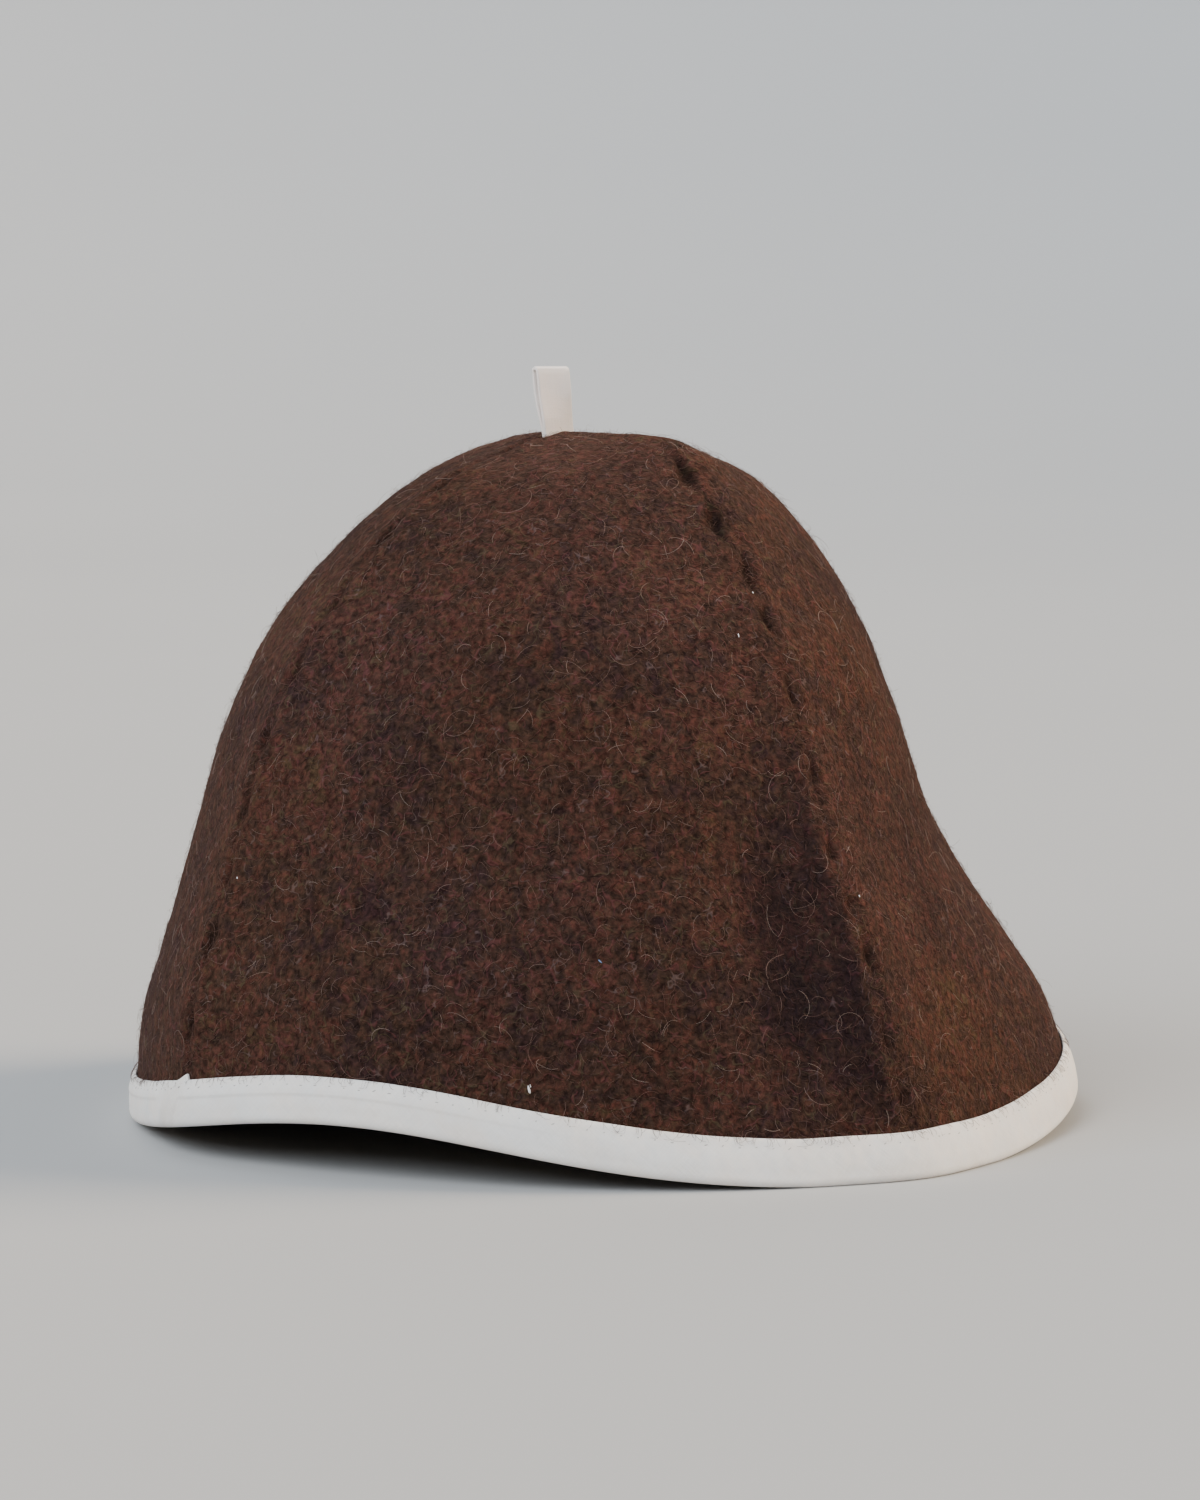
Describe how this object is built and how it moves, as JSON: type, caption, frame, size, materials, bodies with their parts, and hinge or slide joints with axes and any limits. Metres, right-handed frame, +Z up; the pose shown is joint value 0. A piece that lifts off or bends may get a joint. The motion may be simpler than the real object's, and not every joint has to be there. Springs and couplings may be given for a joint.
{
  "type": "sauna hat",
  "caption": "Bell-shaped felt sauna hat of four sewn gores, its softly arched rim bound with folded tape, with a tape hanging loop at the top; it stands on the two sides of its rim.",
  "frame": {"origin": "on the surface that the hat stands on, under the middle of the rim", "axes": "+Z up through the crown, -Y towards the forehead and the front seam, +X towards the wearer's left"},
  "size_m": [0.2678, 0.2626, 0.1995],
  "materials": {
    "felt": "thick brown wool felt with loose curly fibres, matte",
    "bias_tape": "ivory cotton bias tape, smooth, stitched along its upper edge",
    "loop_tape": "pale pinkish cream tape with a faint satin sheen"
  },
  "bodies": {
    "root": {"gore_front_left": "felt", "gore_back_left": "felt", "gore_back_right": "felt", "gore_front_right": "felt", "rim_binding": "bias_tape", "hanging_loop": "loop_tape"}
  },
  "joints": []
}
